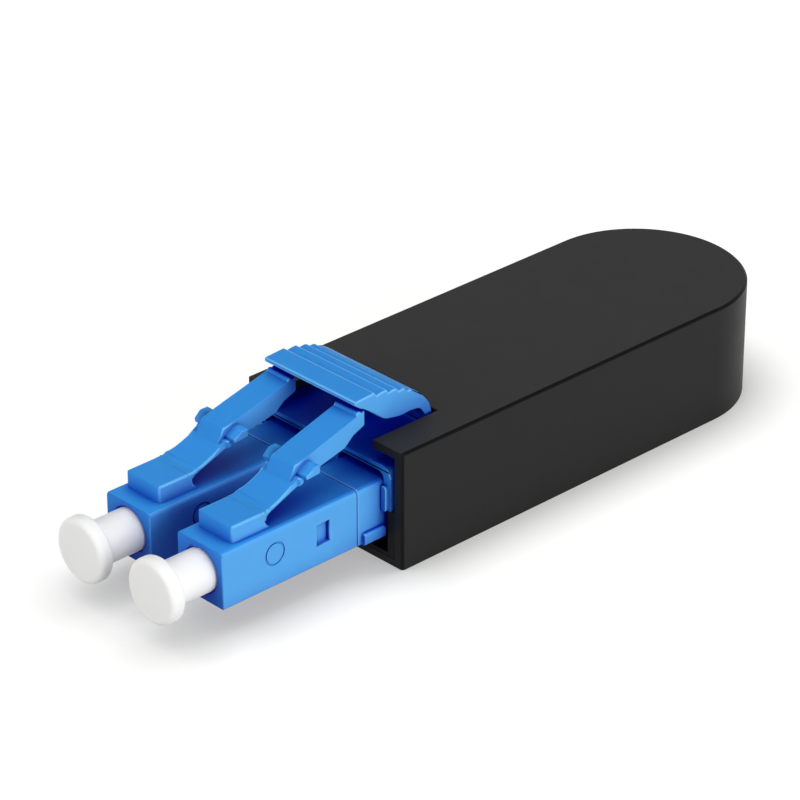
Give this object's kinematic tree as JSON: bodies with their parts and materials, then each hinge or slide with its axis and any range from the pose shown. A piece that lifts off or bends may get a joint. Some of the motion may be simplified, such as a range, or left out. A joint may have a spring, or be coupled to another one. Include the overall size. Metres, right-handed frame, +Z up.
{
  "type": "fiber loopback module",
  "caption": "Duplex fibre loopback plug: black sleeve with a rounded end, two blue latched plugs with white dust caps, a ribbed trigger, and the fibre turn inside.",
  "frame": {"origin": "on the surface it rests on, at the middle of its length and width", "axes": "+Y runs from the plugs to the rounded end, +Z is up, +X is to the right when looking along +Y"},
  "size_m": [0.0134, 0.0496, 0.0105],
  "materials": {
    "black_housing": "satin, fine texture",
    "black_tray": "matt",
    "blue_moulding": "soft gloss",
    "white_cap": "soft matt",
    "white_ceramic": "polished ceramic",
    "plated_metal": "nickel plated",
    "spring_wire": "drawn wire",
    "boot_rubber": "matt",
    "yellow_fibre": "smooth"
  },
  "bodies": {
    "module": {"housing_shell": "black_housing", "inner_tray": "black_tray", "duplex_clip": "blue_moulding", "fibre_loop": "yellow_fibre", "front_body_a": "blue_moulding", "rear_body_a": "blue_moulding", "fibre_boot_a": "boot_rubber", "ferrule_spring_a": "spring_wire", "front_body_b": "blue_moulding", "rear_body_b": "blue_moulding", "fibre_boot_b": "boot_rubber", "ferrule_spring_b": "spring_wire"},
    "trigger": {"clip_trigger": "blue_moulding"},
    "latch_a": {"latch_a": "blue_moulding"},
    "ferrule_a": {"ferrule_a": "white_ceramic", "ferrule_flange_a": "plated_metal"},
    "cap_a": {"dust_cap_a": "white_cap"},
    "latch_b": {"latch_b": "blue_moulding"},
    "ferrule_b": {"ferrule_b": "white_ceramic", "ferrule_flange_b": "plated_metal"},
    "cap_b": {"dust_cap_b": "white_cap"}
  },
  "joints": [
    {"name": "trigger_press", "type": "hinge", "parent": "module", "child": "trigger", "pos_m": [0, -0.00432, 0.00755], "axis": [1, 0, 0], "range_deg": [0, 8], "stiffness_Nm_per_rad": 0.02},
    {"name": "latch_bend_a", "type": "hinge", "parent": "module", "child": "latch_a", "pos_m": [-0.00313, -0.01742, 0.0059], "axis": [1, 0, 0], "range_deg": [-9, 0], "stiffness_Nm_per_rad": 0.02},
    {"name": "ferrule_float_a", "type": "slide", "parent": "module", "child": "ferrule_a", "axis": [0, 1, 0], "range_m": [0, 0.0005], "stiffness_N_per_m": 500, "deforming": ["ferrule_spring_a"]},
    {"name": "cap_pull_a", "type": "slide", "parent": "module", "child": "cap_a", "axis": [0, -1, 0], "range_m": [0, 0.005]},
    {"name": "latch_bend_b", "type": "hinge", "parent": "module", "child": "latch_b", "pos_m": [0.00313, -0.01742, 0.0059], "axis": [1, 0, 0], "range_deg": [-9, 0], "stiffness_Nm_per_rad": 0.02},
    {"name": "ferrule_float_b", "type": "slide", "parent": "module", "child": "ferrule_b", "axis": [0, 1, 0], "range_m": [0, 0.0005], "stiffness_N_per_m": 500, "deforming": ["ferrule_spring_b"]},
    {"name": "cap_pull_b", "type": "slide", "parent": "module", "child": "cap_b", "axis": [0, -1, 0], "range_m": [0, 0.005]}
  ],
  "couplings": [
    {"joint": "latch_bend_a", "follows": "trigger_press", "ratio": -1.1},
    {"joint": "latch_bend_b", "follows": "trigger_press", "ratio": -1.1}
  ]
}
